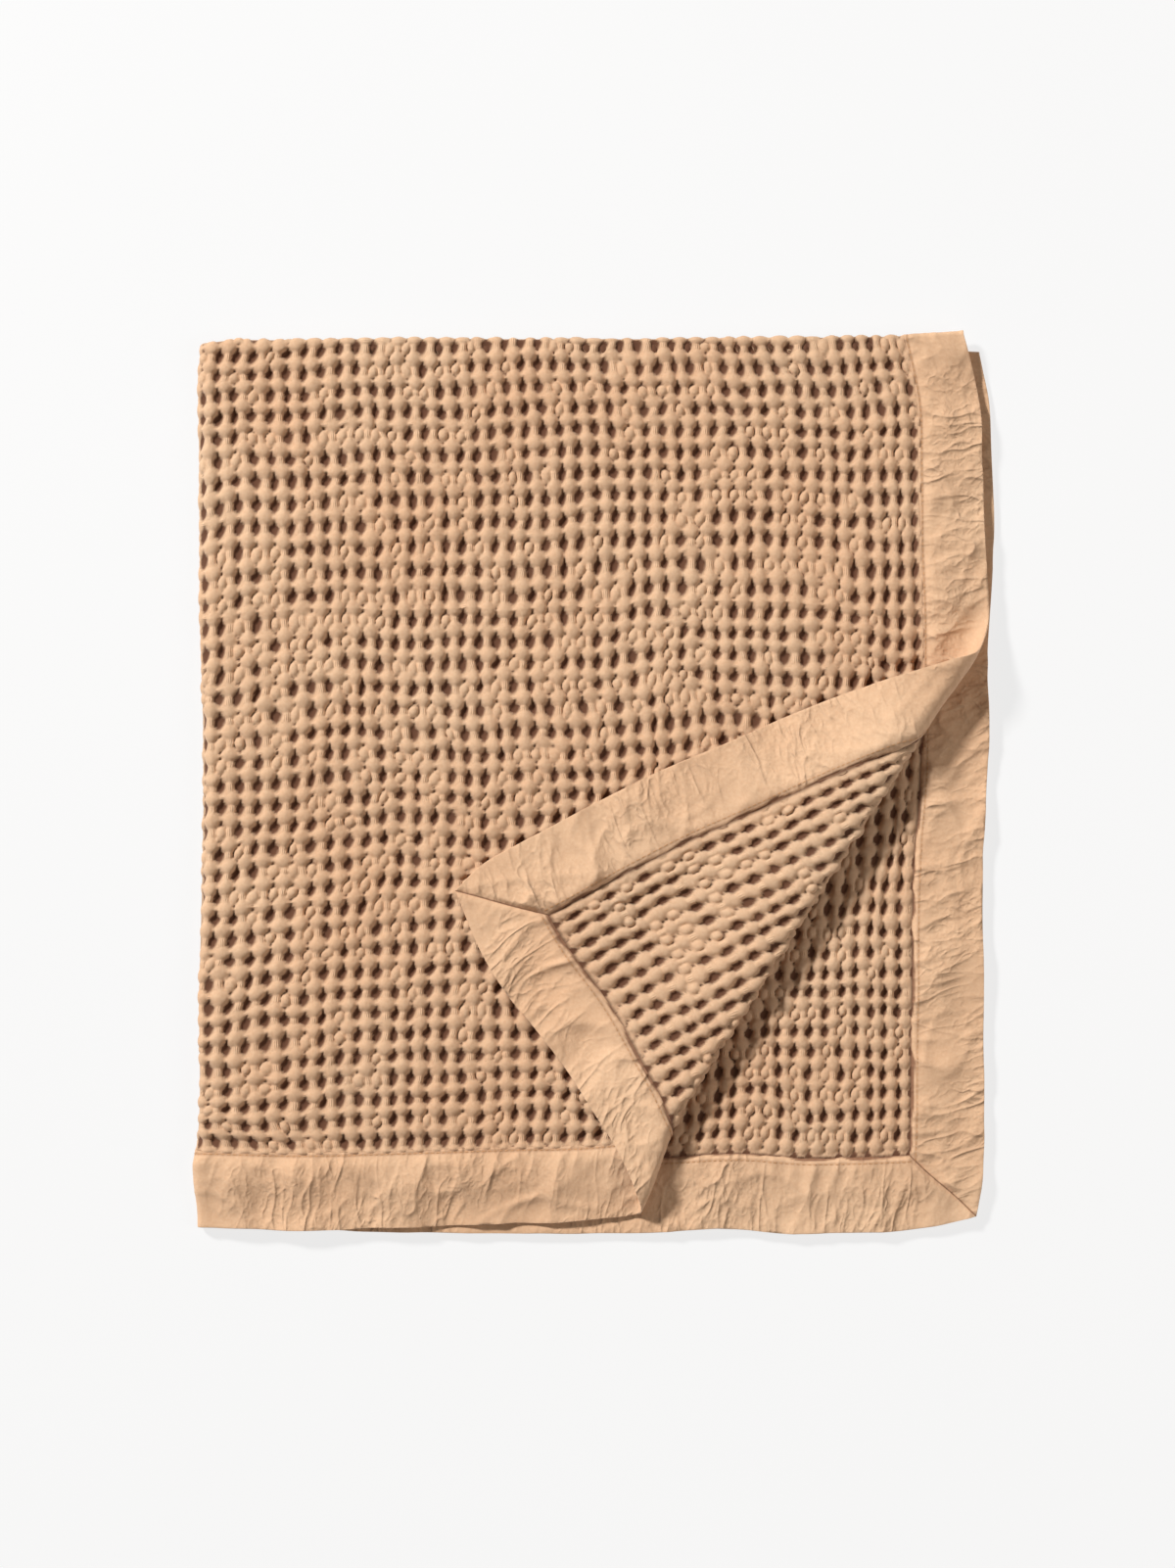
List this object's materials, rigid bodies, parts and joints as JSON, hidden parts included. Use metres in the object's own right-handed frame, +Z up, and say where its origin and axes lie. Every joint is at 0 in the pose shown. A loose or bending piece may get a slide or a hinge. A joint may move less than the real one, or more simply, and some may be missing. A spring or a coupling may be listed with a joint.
{
  "type": "waffle weave cotton blanket",
  "caption": "Cotton waffle weave throw with a wide mitred plain weave border, folded in quarters with one corner turned back.",
  "frame": {"origin": "middle of the folded blanket in plan, at the floor it lies on", "axes": "+X to the right across the folded blanket, away from the left crease; +Y towards the top crease; +Z up out of the stack"},
  "size_m": [0.6558, 0.7388, 0.0474],
  "materials": {
    "waffle_cloth": "washed cotton waffle weave, tan",
    "border_cloth": "washed cotton plain weave, tan"
  },
  "bodies": {
    "root": {"waffle_panel": "waffle_cloth", "side_border_upper": "border_cloth", "side_border_lower": "border_cloth", "end_border_outer": "border_cloth", "end_border_inner": "border_cloth"}
  },
  "joints": []
}
